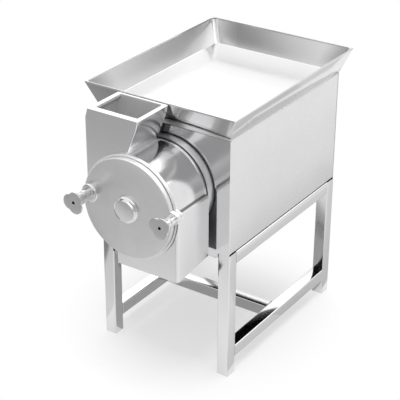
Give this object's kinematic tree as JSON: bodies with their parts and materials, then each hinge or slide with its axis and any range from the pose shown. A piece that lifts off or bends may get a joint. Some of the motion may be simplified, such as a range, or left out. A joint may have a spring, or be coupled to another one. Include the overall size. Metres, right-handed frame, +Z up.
{
  "type": "vegetable cutting machine",
  "caption": "Floor-standing vegetable cutting machine: loading tray over a cabinet on a tube stand, drum chamber with feed hopper, outlet chute and clamped round door.",
  "frame": {"origin": "on the floor, under the middle of the whole outline", "axes": "+Z up; -Y is the front, where the door and its knobs are; +X to the right seen from the front"},
  "size_m": [0.514, 0.9302, 0.856],
  "materials": {
    "polished": "polished stainless steel",
    "tube": "satin stainless steel tube",
    "tray": "bright satin stainless sheet",
    "machined": "machined steel",
    "cast": "painted cast iron",
    "motor_paint": "grey machine paint",
    "rubber": "black rubber",
    "plastic": "black moulded plastic",
    "handle_red": "red moulded plastic",
    "bush": "bearing bronze"
  },
  "bodies": {
    "machine": {"leg_front_left": "tube", "leg_front_right": "tube", "leg_rear_left": "tube", "leg_rear_right": "tube", "leg_end_plates": "tube", "lower_rail_left": "tube", "lower_rail_right": "tube", "lower_cross_rail": "tube", "upper_rail_left": "tube", "upper_rail_right": "tube", "upper_rail_rear": "tube", "belly_pan": "tube", "front_panel": "polished", "side_panel_left": "polished", "side_panel_right": "polished", "rear_cover": "polished", "rear_cover_screws": "machined", "cable_gland": "plastic", "switch_box": "plastic", "tray": "tray", "mounting_collar": "polished", "collar_gasket": "rubber", "drum_back_plate": "polished", "drum_shell": "polished", "drum_front_flange": "polished", "hopper": "polished", "hopper_ramp": "polished", "outlet_chute": "polished", "discharge_grate": "machined", "fixed_knives": "machined", "chamber_bolts": "machined", "shaft_seal": "rubber", "shaft_pedestal": "motor_paint", "bearing_block_front": "cast", "bearing_block_rear": "cast", "bearing_inserts": "machined", "bearing_bolts": "machined", "motor_rails": "cast", "motor_frame": "motor_paint", "motor_shields": "motor_paint", "motor_fan_cover": "motor_paint", "terminal_box": "plastic", "v_belt": "rubber", "motor_bolts": "machined"},
    "rotor": {"main_shaft": "machined", "rotor_hub": "machined", "rotor_blades": "machined", "rotor_nut": "machined", "driven_pulley": "cast"},
    "motor_rotor": {"motor_shaft": "machined", "motor_fan": "plastic", "motor_pulley": "cast"},
    "switch_handle": {"switch_handle": "handle_red"},
    "door": {"door_plate": "polished", "door_gasket": "rubber", "door_boss": "polished", "door_bush": "bush", "clamp_collar": "polished"},
    "knob_left": {"clamp_knob_left": "polished"},
    "knob_right": {"clamp_knob_right": "polished"}
  },
  "joints": [
    {"name": "motor_spin", "type": "hinge", "parent": "machine", "child": "motor_rotor", "pos_m": [-0.096, 0.25415, 0.492], "axis": [0, 1, 0], "continuous": true},
    {"name": "rotor_spin", "type": "hinge", "parent": "machine", "child": "rotor", "pos_m": [0.016, 0.25415, 0.593], "axis": [0, 1, 0], "continuous": true},
    {"name": "switch_turn", "type": "hinge", "parent": "machine", "child": "switch_handle", "pos_m": [-0.247, -0.08785, 0.685], "axis": [1, 0, 0], "range_deg": [0, 90]},
    {"name": "door_lift_off", "type": "slide", "parent": "machine", "child": "door", "axis": [0, -1, 0], "range_m": [0, 0.2]},
    {"name": "knob_left_turn", "type": "hinge", "parent": "door", "child": "knob_left", "pos_m": [-0.10415, -0.37985, 0.61418], "axis": [0, 1, 0], "continuous": true},
    {"name": "knob_right_turn", "type": "hinge", "parent": "door", "child": "knob_right", "pos_m": [0.17214, -0.37985, 0.60941], "axis": [0, 1, 0], "continuous": true}
  ],
  "couplings": [
    {"joint": "rotor_spin", "follows": "motor_spin", "ratio": 0.5641}
  ]
}
